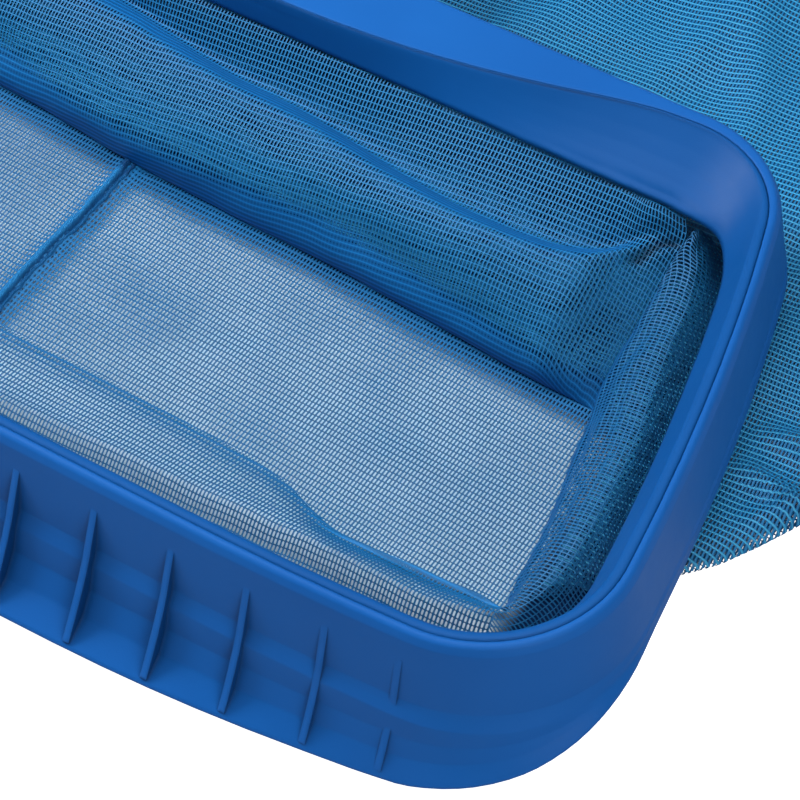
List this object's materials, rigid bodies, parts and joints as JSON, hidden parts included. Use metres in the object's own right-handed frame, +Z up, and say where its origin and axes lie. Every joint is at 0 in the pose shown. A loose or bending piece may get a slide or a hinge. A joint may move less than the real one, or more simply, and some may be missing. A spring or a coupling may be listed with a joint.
{
  "type": "leaf skimmer net",
  "caption": "Deep-bag leaf skimmer for a pool: rigid blue frame with a ribbed scoop lip, inner bag ring, sewn mesh bag and a pole stub with snap buttons.",
  "frame": {"origin": "centre plane of the net (X = 0), midway between the front and rear edges of the rim (Y = 0), on the floor it rests on (Z = 0)", "axes": "+X across the mouth to the right, +Y towards the pole end, +Z up out of the mouth"},
  "size_m": [0.5008, 0.3986, 0.0531],
  "materials": {
    "frame_plastic": "satin blue moulded plastic",
    "net_mesh": "knitted blue polyester mesh",
    "seam_tape": "folded mesh with lock stitch",
    "cord": "braided",
    "fastener_steel": "zinc plated",
    "spring_steel": "stainless spring strip",
    "button_plastic": "moulded"
  },
  "bodies": {
    "net": {"frame_body": "frame_plastic", "bag_ring": "frame_plastic", "ring_screws": "fastener_steel", "pole_stub": "frame_plastic", "stub_screws": "fastener_steel", "stub_nuts": "fastener_steel", "clip_bow": "spring_steel", "hem_cord": "cord", "bag_front": "net_mesh", "bag_side_right": "net_mesh", "bag_side_left": "net_mesh", "bag_rear": "net_mesh", "bag_floor_right": "net_mesh", "bag_floor_left": "net_mesh", "bag_back_layer": "net_mesh", "bag_floor_seam": "seam_tape"},
    "clip_right": {"clip_leg_right": "spring_steel", "button_right": "button_plastic"},
    "clip_left": {"clip_leg_left": "spring_steel", "button_left": "button_plastic"}
  },
  "joints": [
    {"name": "button_right_press", "type": "hinge", "parent": "net", "child": "clip_right", "pos_m": [0.0091, 0.182, 0.03], "axis": [0, 0, 1], "range_deg": [0, 5.2]},
    {"name": "button_left_press", "type": "hinge", "parent": "net", "child": "clip_left", "pos_m": [-0.0091, 0.182, 0.03], "axis": [0, 0, -1], "range_deg": [0, 5.2]}
  ]
}
